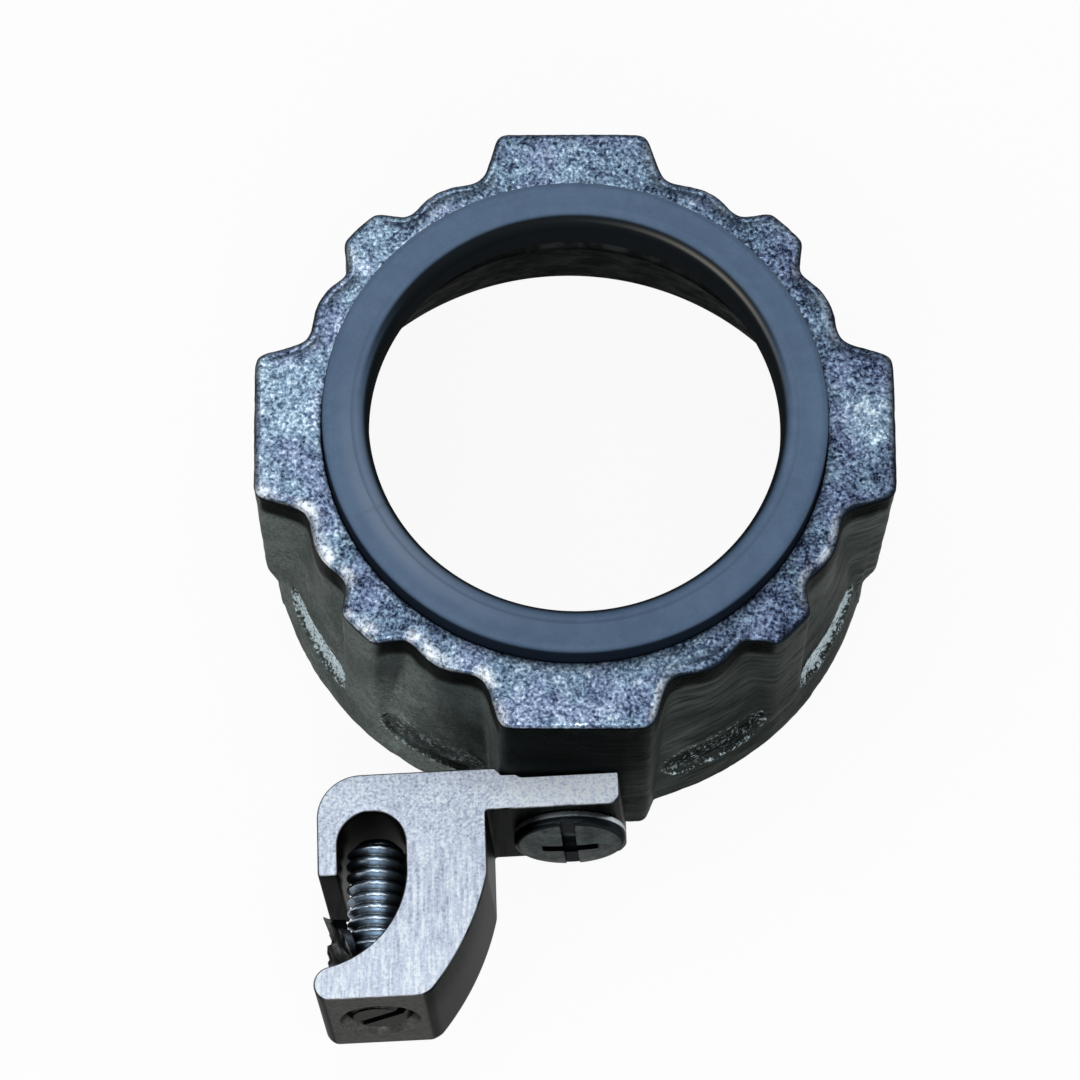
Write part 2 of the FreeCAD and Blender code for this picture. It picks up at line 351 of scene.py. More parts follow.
def cast_skin():
    """The casting's outside as one closed skin: the castellated outline goes round, and a section goes up
    the wall, over a rounded edge, across the top face, down the liner's seat and back down inside the wall,
    behind the thread. The wall is the smooth larger of the outline and a flaring cone. Lobes lean, and they
    and the ribs run out into the cone low down, except behind the lug. Pockets are stadium-shaped dips in
    the cone, and noise takes a little off all of the outside. Marks say how much of each point is top face,
    edge darkened as painted shade, painted highlight, painted shade, and pocket floor with a painted glint."""
    count = 1080
    loop = castellation(count)
    normal = outward(loop)
    angle = np.arctan2(loop[:, 1], loop[:, 0])
    degrees = np.degrees(angle)
    reach = np.hypot(loop[:, 0], loop[:, 1])
    radial = np.stack([np.cos(angle), np.sin(angle)], -1)
    sideways = step_up(0.1, 0.35, 1 - np.sum(normal * radial, -1))
    recess = np.maximum(step_up(31.2, 29.5, reach), sideways)
    from_lug = np.abs(turn_from(degrees, -90))
    behind_lug = step_up(17, 11, from_lug)
    off_lug = step_up(18, 26, from_lug)
    names = ("top", "edge", "rub_and_glint", "painted_shade", "pocket")
    rows, ways, marks = [], [], {name: [] for name in names}

    def add(xy, z, way, **values):
        """One ring of the skin, the way its noise moves it and its marks."""
        rows.append(np.concatenate([xy, np.broadcast_to(z, (count, 1))], -1))
        ways.append(np.broadcast_to(way, (count, 3)))
        for name in names:
            marks[name].append(np.broadcast_to(values.get(name, 0.0), count))

    half, end = (POCKET_LENGTH - POCKET_HEIGHT) / 2, POCKET_HEIGHT / 2
    quarter = degrees % 90
    off = np.radians(np.where(quarter < 45, quarter - POCKET_TURN, quarter - 90 + POCKET_TURN))
    # Painted reflection: pocket floors facing the sides are silvery, while the other floors and the pocket
    # lips get a few painted glints.
    lit = step_up(0.6, 0.85, np.abs(np.cos(angle)))
    free_lobe = step_up(RIB_REACH + 0.1, LOBE_REACH - 0.3, reach) * off_lug
    standing = step_up(RECESS + 0.4, RECESS + 1.2, reach) * off_lug
    out = np.concatenate([normal, np.zeros((count, 1))], -1)
    up = np.array([0.0, 0.0, 1.0])
    levels = np.concatenate([[0, 0.3], np.linspace(0.6, 4.6, 6), np.linspace(4.85, 10.1, 22),
                             np.linspace(10.9, 24.5, 9), np.linspace(25.3, 28.9, 6)])
    for z in levels:
        cone = BASE - BASE_BEVEL + z
        if z > BASE_BEVEL:
            cone = RECESS + FLARE * (FLARE_LEVEL - z) / (FLARE_LEVEL - BASE_BEVEL)
        lean = reach - free_lobe * LOBE_DRAFT * (1 - z / BODY_TOP)
        lean = lean - standing * np.maximum(lean - cone, 0) * step_up(LOBE_TAPER, 0.9, z)
        wide = 0.5 * (lean + cone + np.sqrt((lean - cone) ** 2 + WALL_BLEND ** 2)) - 0.02
        plain = step_up(-0.4, 0.0, cone - reach) if BASE_BEVEL < z < FLARE_LEVEL else 0.0
        gap = np.hypot(np.maximum(np.abs(wide * np.sin(off)) - half, 0), z - POCKET_LEVEL) - end
        dip = step_up(0.2, -0.25, gap) * plain
        lip = bell(gap, 0.3, 0.25) * plain
        band = bell(z, POCKET_LEVEL - 0.6, 1.5)
        lip_glint, lip_shade = (0.3, 0.3) if z < POCKET_LEVEL else (0.16, 0.85)
        pocket_floor_glint = np.maximum(dip * np.maximum(lit, 0.2 * band), lip_glint * lip)
        ragged = z + 1.1 * lumps(np.stack([*loop.T, np.full(count, z)], -1) + 60, 1.7, 14) - 0.55
        # Painted shade: a ragged dark band under the rim in the recesses, the lobe's wall above the lug, the
        # upper lip of each pocket, and the floors of the pockets that face more to the front and back.
        shade = np.max([
            step_up(25.2, 26.4, ragged) * recess,
            (0.55 + 0.4 * step_up(12, 20, z)) * behind_lug,
            lip_shade * bell(gap, -0.05, 0.24) * plain,
            0.6 * dip * (1 - lit) * band,
        ], axis=0)
        wide = wide - POCKET_DEPTH * dip + POCKET_LIP * lip
        add(radial * wide[:, None], z, out, pocket=pocket_floor_glint, painted_shade=shade)

    # The rounded top edge: a painted highlight where the edge faces one way, painted dark shade over the rest
    # of the rounding, and painted shade under the rim in the recesses and above the lug.
    rim_glint, forward, thin, dark_side = rim_glint_and_shade(loop, normal, recess)
    shade = np.maximum(0.9 * recess, behind_lug)
    bright = np.maximum(rim_glint * (1 - 0.85 * thin), forward)
    for a in np.linspace(0, np.pi / 2, 12):
        lift = math.degrees(a)
        streak = thin * bell(lift, 70, 17) + (1 - thin) * step_up(14, 38, lift)
        add(loop - normal * EDGE_ROUND * (1 - math.cos(a)), BODY_TOP - EDGE_ROUND * (1 - math.sin(a)),
            out * math.cos(a) + up * math.sin(a), rub_and_glint=rim_glint * streak, painted_shade=shade * step_up(30, 6, lift),
            top=step_up(28 - 18 * bright, 55 - 22 * bright, lift),
            edge=step_up(72 - 36 * bright, 40 - 28 * bright, lift))

    inset = loop - normal * EDGE_ROUND
    seat_angle = np.arctan2(inset[:, 1], inset[:, 0])
    seat = np.stack([np.cos(seat_angle), np.sin(seat_angle)], -1)
    # The top face takes painted shade beside some edges and the painted highlight beside others.
    for t in np.linspace(0, 1, 16)[1:]:
        inward = t * (reach - LINER_SEAT)
        add(inset * (1 - t) + seat * (LINER_SEAT + 0.12) * t, BODY_TOP, up, top=1.0,
            edge=dark_side * bell(inward, 0, 0.55 + 0.75 * recess),
            rub_and_glint=rim_glint * bell(inward, 0, 0.75 - 0.4 * thin))

    still = np.zeros(3)
    # Painted shade on the liner's seat and on the inner wall behind the thread.
    add(seat * LINER_SEAT, BODY_TOP - 0.14, still, top=0.5, painted_shade=0.6)
    back = (
        (LINER_SEAT, SEAT_LEVEL), (THREAD_ROOT + 0.4, SEAT_LEVEL - 0.2), (THREAD_ROOT + 0.4, THREAD_FLOOR),
        (SKIRT_TOP + 0.25, THREAD_FLOOR - 0.3), (SKIRT_BASE + 0.2, 0.0))
    for radius, z in back:
        add(seat * radius, z, still, painted_shade=1.0)
    grid = np.stack(rows)
    cast = 0.08 * lumps(grid, 2.4, 11) + 0.06 * lumps(grid, 1.0, 12) + 0.05 * lumps(grid, 0.5, 13)
    grid = grid - np.stack(ways) * (CAST_INSET + cast)[..., None]
    grid[..., 2] = np.maximum(grid[..., 2], 0)
    marks = {name: np.stack(values) for name, values in marks.items()}
    marks.update(casting_tones(grid))
    quads = grid_faces(len(rows), count, True, True)
    return make_piece("cast_shell", grid.reshape(-1, 3), quads, "bushing", "bushing_body", marks)


def conduit_thread():
    """The bore as a closed sleeve: a section goes down the thread and the flaring skirt, then back up a
    little further out. The thread is a helix: its depth follows height over pitch less angle over a turn,
    and fades at both ends. Noise roughens the skirt."""
    count = 720
    turn = full_turn(count)
    ring = np.stack([np.cos(turn), np.sin(turn)], -1)
    rows = []

    def add(radius, z):
        """One ring of the sleeve, whose radius may change round it."""
        xy = ring * np.broadcast_to(radius, count)[:, None]
        rows.append(np.concatenate([xy, np.full((count, 1), z)], -1))

    add(LINER_SEAT - 0.05, SEAT_LEVEL - 0.02)
    for z in np.linspace(SEAT_LEVEL - 0.05, THREAD_FLOOR + 0.05, 40):
        ridge = 1 - zigzag(z / THREAD_PITCH - turn / (2 * np.pi))
        fade = step_up(0, 1.2, min(SEAT_LEVEL - z, z - THREAD_FLOOR))
        add(THREAD_ROOT - THREAD_DEPTH * np.clip(ridge * 1.6 - 0.3, 0, 1) * fade, z)
    add(SKIRT_TOP - 0.1, THREAD_FLOOR)
    for z in np.linspace(THREAD_FLOOR - 0.25, 0.0, 24):
        add(SKIRT_TOP + (SKIRT_BASE - SKIRT_TOP) * (1 - z / THREAD_FLOOR), z)
    add(SKIRT_BASE + 0.4, 0.02)
    add(SKIRT_TOP + 0.4, THREAD_FLOOR - 0.3)
    add(THREAD_ROOT + 0.6, SEAT_LEVEL - 0.3)
    grid = np.stack(rows)
    rough = 0.09 * lumps(grid, 1.6, 31) + 0.05 * lumps(grid, 0.7, 32)
    skirt = grid[..., 2] < THREAD_FLOOR - 0.3
    skirt_radius = 27.0
    grid[..., :2] *= 1 + (rough * skirt * step_up(0.0, 1.0, grid[..., 2]) / skirt_radius)[..., None]
    quads = grid_faces(len(rows), count, True, True)
    return make_piece("conduit_thread", grid.reshape(-1, 3), quads, "bushing", None)


def lathe(section, count):
    """A section of radius and height turned about the vertical axis, closed both ways."""
    turn = full_turn(count)
    r, z = section[:, 0][:, None], section[:, 1][:, None]
    grid = np.stack(np.broadcast_arrays(r * np.cos(turn), r * np.sin(turn), z), -1)
    return grid, grid_faces(len(section), count, True, True)


def arc_points(centre, radius, start, stop, count):
    """Points on an arc between two angles."""
    a = np.radians(np.linspace(start, stop, count))
    return np.stack([centre[0] + radius * np.cos(a), centre[1] + radius * np.sin(a)], -1)


def liner_ring():
    """The liner turned from its section: straight throat, a slight bevel, a rounded lip, a shallow step up
    to the flat top, a rounded outer edge and the wall that stands in the casting's seat. A fine knit line
    crosses the top. Marks say how much of each point takes painted shade in the throat and on the far side
    of the lip, painted shade on the outer wall, a painted pale sheen, a painted gleam on the lip, or the
    crease's painted shade and the knit line."""
    low, shelf, rim = LINER_TOP - LIP, THROAT + LIP, LINER_RADIUS - LINER_EDGE
    flat_r = np.linspace(shelf + 0.4, rim - 0.05, 12)

    def upright(radius, start, stop):
        """Eight points at one radius, from one height to another."""
        return np.stack([np.full(8, radius), np.linspace(start, stop, 8)], -1)

    parts = {
        "throat": upright(THROAT, SEAT_LEVEL + 0.3, low - 0.7),
        "bevel": [[THROAT + 0.01, low - 0.55], [THROAT, low - 0.42], [THROAT, low - 0.3],
                  [THROAT + 0.12, low - 0.12]],
        "lip": arc_points((shelf, low - 0.06), LIP, 173, 96, 18),
        "step": [[shelf + 0.05, LINER_TOP - 0.06], [shelf + 0.16, LINER_TOP - 0.045],
                 [shelf + 0.24, LINER_TOP - 0.01]],
        "flat": np.stack([flat_r, LINER_TOP - 0.03 * np.sin(np.linspace(0, np.pi, 12))], -1),
        "edge": arc_points((rim, LINER_TOP - LINER_EDGE), LINER_EDGE, 86, 0, 12),
        "wall": upright(LINER_RADIUS, LINER_TOP - LINER_EDGE - 0.25, SEAT_LEVEL + 0.05),
        "foot": [[LINER_RADIUS - 0.3, SEAT_LEVEL], [THROAT + 0.3, SEAT_LEVEL]],
    }
    section = np.vstack([np.array(p) for p in parts.values()])
    kind = np.repeat(list(parts), [len(p) for p in parts.values()])
    grid, quads = lathe(section, 720)
    turn = np.degrees(np.arctan2(grid[..., 1], grid[..., 0]))

    def mark(values):
        """A value along the section, the same all the way round."""
        return np.broadcast_to(np.asarray(values, float)[:, None], grid.shape[:2])

    on_lip = kind == "lip"
    slope = np.clip((LINER_TOP - section[:, 1]) / LIP, 0, 1)
    inside = np.where(np.isin(kind, ["throat", "bevel", "foot"]), 1.0, on_lip * step_up(0.06, 0.42, slope))
    far_lip = step_up(-4, 14, grid[..., 1]) * mark(on_lip * step_up(0.04, 0.14, slope))
    outside = np.where(kind == "wall", 1.0, (kind == "edge") * step_up(0.08, 0.5, slope))
    knit = about(turn, KNIT_LINE, 0.5) * mark(np.isin(kind, ["lip", "step", "flat"]))
    grid[..., 2] -= KNIT_DIP * knit
    # Painted light and shade: the throat, the far side of the lip and the outer wall, most of all in front,
    # are darkened, a patch to one side gets a pale sheen, the lip a gleam, and the front of the step a dark
    # crease; the knit line is the moulding's own mark.
    marks = {
        "inside": np.maximum(mark(inside), far_lip),
        "outside": np.maximum(mark(outside), 0.14 * about(turn, -90, 42)),
        "pale": about(turn, 214, 34) * mark(step_up(LINER_RADIUS - 1.2, THROAT + 2.2, section[:, 0])),
        "gleam": mark(bell(slope, 0.3, 0.09) * on_lip) * about(turn, 44, 26),
        "crease": np.maximum(mark(kind == "step") * step_up(16, -6, grid[..., 1]), knit),
    }
    points = grid.reshape(-1, 3)
    return make_piece("throat_liner", points, quads, "bushing", "insulating_liner", marks)


def through(a, b, c, count):
    """Points on the circle through three points, from the first past the second to the third, without the
    last."""
    a, b, c = (np.array(p, float) for p in (a, b, c))
    side = np.array([b - a, c - a]) * 2
    centre = np.linalg.solve(side, [b @ b - a @ a, c @ c - a @ a])
    turn = [math.atan2(*(p - centre)[::-1]) for p in (a, b, c)]
    sweep = (turn[2] - turn[0]) % (2 * math.pi)
    if (turn[1] - turn[0]) % (2 * math.pi) > sweep:
        sweep -= 2 * math.pi
    at = turn[0] + sweep * np.linspace(0, 1, count, endpoint=False)
    return centre + np.linalg.norm(a - centre) * np.stack([np.cos(at), np.sin(at)], -1)


def lug_outline():
    """The extruded profile, as straight runs and arcs through three points: tang, block, bowed front arm,
    swept inside of the arm, arched channel, hook and back."""
    corner = HOOK_ROUND * (1 - math.sqrt(0.5))
    toe = BLOCK_SIDE - 5.9
    tip = (CHANNEL_LEFT - 1.2, ARM_TIP)
    pieces = [
        [(TANG_END, 0), (TANG_END, TANG_CORNER - TANG_THICK), (TANG_END - TANG_CORNER, -TANG_THICK),
         (BLOCK_SIDE, -TANG_THICK)],
        through((BLOCK_SIDE, HOOK_DROP - 0.5), (BLOCK_SIDE - 2.79, -17.72), (toe, 0.5 - ARM_DROP), 40),
        [(toe, 0.5 - ARM_DROP), (toe - 0.9, -ARM_DROP)],
        through((HOOK_LEFT + 0.5, -ARM_DROP), (HOOK_LEFT - 0.6, 1.925 - ARM_DROP), tip, 24),
        through(tip, (CHANNEL_RIGHT - 2.5, -16.03), (CHANNEL_RIGHT, HOOK_DROP + 0.5), 40),
        through((CHANNEL_RIGHT, CHANNEL_SPRING), (CLAMP_X, CHANNEL_CROWN),
                (CHANNEL_LEFT, CHANNEL_SPRING), 48),
        [(CHANNEL_LEFT, CHANNEL_SPRING), (CHANNEL_LEFT, HOOK_DROP), (HOOK_LEFT, HOOK_DROP)],
        through((HOOK_LEFT, BLOCK_BACK - HOOK_ROUND), (HOOK_LEFT + corner, BLOCK_BACK - corner),
                (HOOK_LEFT + HOOK_ROUND, BLOCK_BACK), 24),
        [(HOOK_LEFT + HOOK_ROUND, BLOCK_BACK), (BLOCK_SIDE + 1.1, BLOCK_BACK), (BLOCK_SIDE + 1.4, 0.6),
         (-6.1, 0.7), (-5.5, 0.7), (-4.5, 0)],
    ]
    return np.vstack([np.array(p, float) for p in pieces])


def sawn_lug():
    """The lug's profile carried along its width, with its edges broken round both sawn ends. The front face
    is opened by rings of points that go from a rectangle to the countersunk hole of the clamp screw, which
    ends a little way in. What would stand in the front lobe is laid flush on its flat end. Marks say how
    much of each point is sawn end, broken edge, front face, bowed side of the arm or depth of the
    channel."""
    line = lug_outline()
    area = np.sum(line[:, 0] * np.roll(line[:, 1], -1) - np.roll(line[:, 0], -1) * line[:, 1])
    line = line if area > 0 else line[::-1]
    count, straight = 840, 25
    loop = even_loop(line, count, LUG_SOFT)
    normal = outward(loop)
    bend = np.radians(np.linspace(90, 0, 5))
    end = LUG_WIDTH / 2 - LUG_EDGE
    insets = LUG_EDGE * (1 - np.cos(np.concatenate([bend, np.zeros(straight), bend[::-1]])))
    levels = np.concatenate([-end - LUG_EDGE * np.sin(bend), np.linspace(-end, end, straight + 2)[1:-1],
                             end + LUG_EDGE * np.sin(bend[::-1])])
    rows = len(levels)
    shape = loop[None] - normal[None] * insets[:, None, None]
    grid = np.concatenate([shape, np.broadcast_to(levels[:, None, None], (rows, count, 1))], -1)
    quads = grid_faces(rows, count, False, True).reshape(rows - 1, count, 4)

    window = np.flatnonzero((np.abs(loop[:, 1] + ARM_DROP) < 0.03) & (np.abs(loop[:, 0] - CLAMP_X) < 4.5))
    first, last = window[0], window[-1]
    low, high = np.searchsorted(levels, (-5.4, 5.4))
    keep = np.ones(quads.shape[:2], bool)
    keep[low:high, first:last] = False
    rim = np.concatenate([
        low * count + np.arange(first, last), np.arange(low, high) * count + last,
        high * count + np.arange(last, first, -1), np.arange(high, low, -1) * count + first])
    points = grid.reshape(-1, 3)
    edge = points[rim]
    around = np.arctan2(edge[:, 2], edge[:, 0] - CLAMP_X)

    def circle(radius, depth):
        """A ring about the clamp screw's axis, this far in from the front face."""
        return np.stack([CLAMP_X + radius * np.cos(around), np.full(len(rim), depth - ARM_DROP),
                         radius * np.sin(around)], -1)

    mouth = circle(HOLE_RADIUS + HOLE_SINK, 0)
    rings = [edge * (1 - t) + mouth * t for t in (0.35, 0.7, 0.95)]
    rings += [circle(HOLE_RADIUS + HOLE_SINK, 0.06), circle(HOLE_RADIUS + 0.08, HOLE_SINK - 0.05),
              circle(HOLE_RADIUS, HOLE_SINK + 0.1), circle(HOLE_RADIUS, HOLE_DEPTH)]
    added = len(rings) * len(rim)
    chain = np.vstack([rim[None], len(points) + np.arange(added).reshape(len(rings), -1)])
    over = np.roll(chain, -1, 1)
    hole = np.stack([chain[:-1], over[:-1], over[1:], chain[1:]], -1).reshape(-1, 4)
    points = np.vstack([points, *rings])
    faces = np.vstack([quads[keep], hole])
    row = np.arange(count)
    caps = [row[::-1].tolist(), (row + (rows - 1) * count).tolist(), chain[-1].tolist()]

    def mark(values, in_hole):
        """A value along the profile or one for each level, over all points, with one value in the hole."""
        return np.concatenate([np.broadcast_to(values, (rows, count)).ravel(), np.full(added, in_hole)])

    level = np.arange(rows)[:, None]
    ahead = step_up(0.9, 0.995, -normal[:, 1]) * (loop[:, 1] < 1 - ARM_DROP)
    bowed = step_up(0.25, 0.8, normal[:, 0]) * step_up(-9, -15, loop[:, 1])
    channel = (np.abs(points[:, 0] - CLAMP_X) < 3.6) & (points[:, 1] < -2.7)
    # The ahead, bowed and deep marks carry painted light on the front face, a painted sheen low on the bowed
    # side and painted shade in the channel.
    marks = {
        "sawn": mark((level == 0) | (level == rows - 1), 0.0),
        "edge": mark(1 - np.abs(2 * insets[:, None] / LUG_EDGE - 1), 0.0),
        "ahead": mark(ahead, 1.0),
        "bowed": mark(bowed, 0.0) * step_up(5.6, -1.5, points[:, 2]),
        "deep": channel * step_up(-17, -8, points[:, 1]),
    }
    place = set_in_lug(points)
    flush = (np.abs(place[:, 0]) < LUG_SEAT) & (place[:, 1] > -LOBE_REACH)
    place[flush, 1] = -LOBE_REACH
    piece = make_piece("sawn_lug", place, faces, "bushing", "lay_in_lug", marks, caps)
    sharpen(piece, 40)
    return piece


def tap_burr():
    """A ragged collar left by the tap on the mouth's side of the clamp screw: a section that goes round a
    sliver, carried about the screw's axis. The sliver stands from the arm's tip, is tallest in its middle
    and fades out at both ends, and its outside and top are torn by noise."""
    columns, count = 72, 40
    turn = np.radians(np.linspace(104, 242, columns))[:, None]
    full = np.sin(np.linspace(0.12, np.pi - 0.12, columns))[:, None] ** 0.6
    loop = 2 * np.pi * np.arange(count)[None] / count
    square = np.maximum(np.abs(np.cos(loop)), np.abs(np.sin(loop)))
    across, up = np.cos(loop) / square, np.sin(loop) / square
    seat = np.stack(np.broadcast_arrays(3 * np.cos(turn), 3 * up, 3 * np.sin(turn)), -1) + 40
    torn = lumps(seat, 0.9, 41) + 0.5 * lumps(seat, 0.4, 42) - 0.7
    thick = np.maximum((0.7 + 1.4 * full * (0.8 - 0.2 * up) + 1.1 * torn) * full, 0.12)
    height = np.maximum((7.3 * full ** 2 + 3.2 * torn) * full, 0.3)
    ridge = 0.16 * np.cos(2 * np.pi * up * height / CLAMP_PITCH)
    radius = HOLE_RADIUS + 0.06 + (across + 1) / 2 * np.maximum(thick + ridge, 0.1)
    depth = BURR_FOOT + (up + 1) / 2 * height
    grid = np.stack(np.broadcast_arrays(CLAMP_X + radius * np.cos(turn), depth, radius * np.sin(turn)), -1)
    points = grid.reshape(-1, 3)
    quads = grid_faces(columns, count, False, True)
    caps = [np.arange(count)[::-1], np.arange(count) + (columns - 1) * count]
    if shell_volume(points, quads) < 0:
        quads, caps = quads[:, ::-1], [c[::-1] for c in caps]
    marks = {
        "sawn": np.zeros(grid.shape[:2]),
        "edge": bell(torn, 0.35, 0.18),
        "ahead": 0.4 * bell(torn, 0.1, 0.2),
    }
    caps = [c.tolist() for c in caps]
    return make_piece("tap_burr", set_in_lug(points), quads, "bushing", None, marks, caps)


def sharpen(piece, degrees):
    """Faces that meet at more than this angle keep a crisp edge."""
    piece.data.set_sharp_from_angle(angle=math.radians(degrees))


def box_cutter(size, centre, turn=0.0):
    """A closed box in the lug's frame, turned about the screw's own axis."""
    corner = np.array([[x, y, z] for x in (-1, 1) for y in (-1, 1) for z in (-1, 1)]) * np.array(size) / 2
    spin = np.array(Matrix.Rotation(math.radians(turn), 3, "Y"))
    points = set_in_lug(corner @ spin.T + np.array(centre)) * MM
    sides = [(0, 1, 3, 2), (4, 6, 7, 5), (0, 4, 5, 1), (2, 3, 7, 6), (0, 2, 6, 4), (1, 5, 7, 3)]
    mesh = bpy.data.meshes.new("cutter")
    mesh.from_pydata(points.tolist(), [], sides)
    cutter = bpy.data.objects.new("cutter", mesh)
    bpy.context.scene.collection.objects.link(cutter)
    return cutter


def cut_away(piece, cutters):
    """Takes each cutter out of the piece, keeps the result as its mesh and removes the cutters."""
    for cutter in cutters:
        cut = piece.modifiers.new("slot", "BOOLEAN")
        cut.operation = "DIFFERENCE"
        cut.solver = "EXACT"
        cut.object = cutter
    bpy.context.view_layer.update()
    made = bpy.data.meshes.new_from_object(piece.evaluated_get(bpy.context.evaluated_depsgraph_get()))
    piece.modifiers.clear()
    made.name = piece.name
    piece.data = made
    for cutter in cutters:
        bpy.data.objects.remove(cutter)


def turned_piece(name, radius, along, axis_x, body, node, crest):
    """Rings of the given radii, which may change round the ring, set along the lug's depth direction about
    an axis and closed by a fan at both ends. The crest mark is 0 at the fans' middles."""
    rows, count = radius.shape
    turn = full_turn(count)
    depth = np.broadcast_to(along[:, None], radius.shape)
    grid = np.stack([axis_x + radius * np.cos(turn), depth, radius * np.sin(turn)], -1).reshape(-1, 3)
    points = np.vstack([grid, [[axis_x, along[0], 0], [axis_x, along[-1], 0]]])
    quads = grid_faces(rows, count, False, True)
    ring = np.arange(count)
    over = np.roll(ring, -1)
    last = (rows - 1) * count
    fans = np.vstack([np.stack([np.full(count, rows * count), over, ring], -1),
                      np.stack([np.full(count, rows * count + 1), last + ring, last + over], -1)])
    if shell_volume(grid, quads) < 0:
        quads, fans = quads[:, ::-1], fans[:, ::-1]
    marks = {"crest": np.concatenate([crest.ravel(), [0, 0]])}
    return make_piece(name, set_in_lug(points), quads, body, node, marks, fans.tolist())


def clamp_screw():
    """A threaded rod: its radius falls from crest to root by a blunt triangle wave of depth over pitch less
    angle over a turn, and its tip and end are coned. A slot is cut across its end. The crest mark is highest
    at the thread's crests on the side that is turned up, for a painted highlight there, and fades out at
    the slotted end, which is left in painted shade."""
    count, rows = 112, 330
    along = np.linspace(CLAMP_END, CLAMP_TIP, rows)
    turn = full_turn(count)
    wave = zigzag(along[:, None] / CLAMP_PITCH - turn[None] / (2 * np.pi))
    radius = SCREW_RADIUS - 0.02 - CLAMP_RELIEF * np.clip(wave * 1.35 - 0.2, 0, 1)
    tip = SCREW_RADIUS - 1.3 + (CLAMP_TIP - along)
    end = SCREW_RADIUS - 0.5 + (along - CLAMP_END)
    radius = np.minimum(radius, np.minimum(tip, end)[:, None])
    crest = 1 - np.clip((SCREW_RADIUS - radius) / CLAMP_RELIEF, 0, 1)
    # Painted highlight on the side of the thread that is turned up.
    crest = crest * (0.25 + 0.75 * about(np.degrees(turn), 88, 44))[None]
    # Painted shade towards the slotted end.
    crest = (0.22 + 0.74 * crest) * step_up(0.3, 1.0, along - CLAMP_END)[:, None]
    piece = turned_piece("clamp_screw_rod", radius, along, CLAMP_X, "clamp_screw", "conductor_screw", crest)
    cut_away(piece, [box_cutter(CLAMP_SLOT, (CLAMP_X, CLAMP_END, 0), CLAMP_SLOT_TURN)])
    sharpen(piece, 38)
    return piece


def lug_screw():
    """A low head turned from its section, a little domed in front with a rounded rim, and its shank. A slot
    across it and a deeper cross in its middle are cut in its face. The crest mark is 1 at the back of the
    head's rim, for a painted highlight there, and low on the rim's rounding and in the cut slot and cross,
    which take painted shade."""
    count = 144
    crown = HEAD_SEAT - HEAD_RIM - HEAD_FACE
    round_r = HEAD_RADIUS - HEAD_ROUND
    dome_r = np.linspace(0.1, round_r, 18)
    dome = np.stack([dome_r, HEAD_FACE + crown * (dome_r / HEAD_RADIUS) ** 2], -1)
    start = HEAD_FACE + crown * ((HEAD_RADIUS - 0.5) / HEAD_RADIUS) ** 2
    rim = arc_points((round_r, start + HEAD_ROUND), HEAD_ROUND, -80, 0, 9)
    seat = np.array([(0, -0.8), (0, -0.65), (0, -0.35), (-0.06, -0.12), (-0.25, 0)])
    seat = seat + (HEAD_RADIUS, HEAD_SEAT)
    shank = np.array([(0, HEAD_SEAT + 0.01), (0, SHANK_END - 0.55), (-0.5, SHANK_END)]) + (SCREW_RADIUS, 0)
    section = np.vstack([dome, rim, seat, shank])
    radius = np.repeat(section[:, :1], count, 1)
    # Painted highlight along the back of the rim, painted shade on its rounding.
    crest = np.concatenate([np.full(len(dome), 0.5), np.full(len(rim), 0.1), [0.1, 1, 1, 1, 0.3],
                            np.full(len(shank), 0.3)])
    crest = np.repeat(crest[:, None], count, 1)
    piece = turned_piece("lug_screw_head", radius, section[:, 1], 0.0, "bushing", "lug_screw", crest)
    narrow, deep = HEAD_SLOT - 0.02, 2 * HEAD_CROSS_DEPTH
    sizes = ((HEAD_SLOT, 2 * HEAD_SLOT_DEPTH, 16), (narrow, deep, HEAD_CROSS), (HEAD_CROSS, deep, narrow))
    cut_away(piece, [box_cutter(size, (0, HEAD_FACE, 0)) for size in sizes])
    sharpen(piece, 32)
    return piece


def add_node(tree, kind, settings=None, **values):
    """A node with its properties set, and its inputs set or linked by name, or by place as i0, i1 and so
    on."""
    node = tree.nodes.new(kind)
    for key, value in (settings or {}).items():
        setattr(node, key, value)
    for key, value in values.items():
        by_place = key[0] == "i" and key[1:].isdigit()
        target = node.inputs[int(key[1:]) if by_place else key.replace("_", " ")]
        if isinstance(value, bpy.types.NodeSocket):
            tree.links.new(value, target)
        else:
            target.default_value = value
    return node


def math_node(tree, operation, a, b):
    """Two numbers put together by an operation."""
    return add_node(tree, "ShaderNodeMath", {"operation": operation}, i0=a, i1=b).outputs[0]


def times(tree, a, b):
    """Two numbers multiplied."""
    return math_node(tree, "MULTIPLY", a, b)


def plus(tree, a, b):
    """Two numbers added."""
    return math_node(tree, "ADD", a, b)


def blend_colour(tree, amount, a, b, way="MIX"):
    """Two colours mixed, or multiplied, by an amount."""
    settings = {"data_type": "RGBA", "blend_type": way}
    return add_node(tree, "ShaderNodeMix", settings, i0=amount, i6=a, i7=b).outputs[2]


def tinted(tree, colour, mark, share, paint):
    """A colour taken this share of the way to a paint where a mark is 1."""
    return blend_colour(tree, times(tree, mark, share), colour, paint)


def blend_value(tree, amount, a, b):
    """Two numbers mixed by an amount."""
    return add_node(tree, "ShaderNodeMix", i0=amount, i2=a, i3=b).outputs[0]


def ramp(tree, value, stops):
    """A colour that runs through the given stops of place and colour."""
    node = add_node(tree, "ShaderNodeValToRGB", Fac=value)
    marks = node.color_ramp.elements
    while len(marks) < len(stops):
        marks.new(0.5)
    for mark, (place, colour) in zip(marks, stops):
        mark.position = place
        mark.color = (*colour, 1)
    return node.outputs[0]


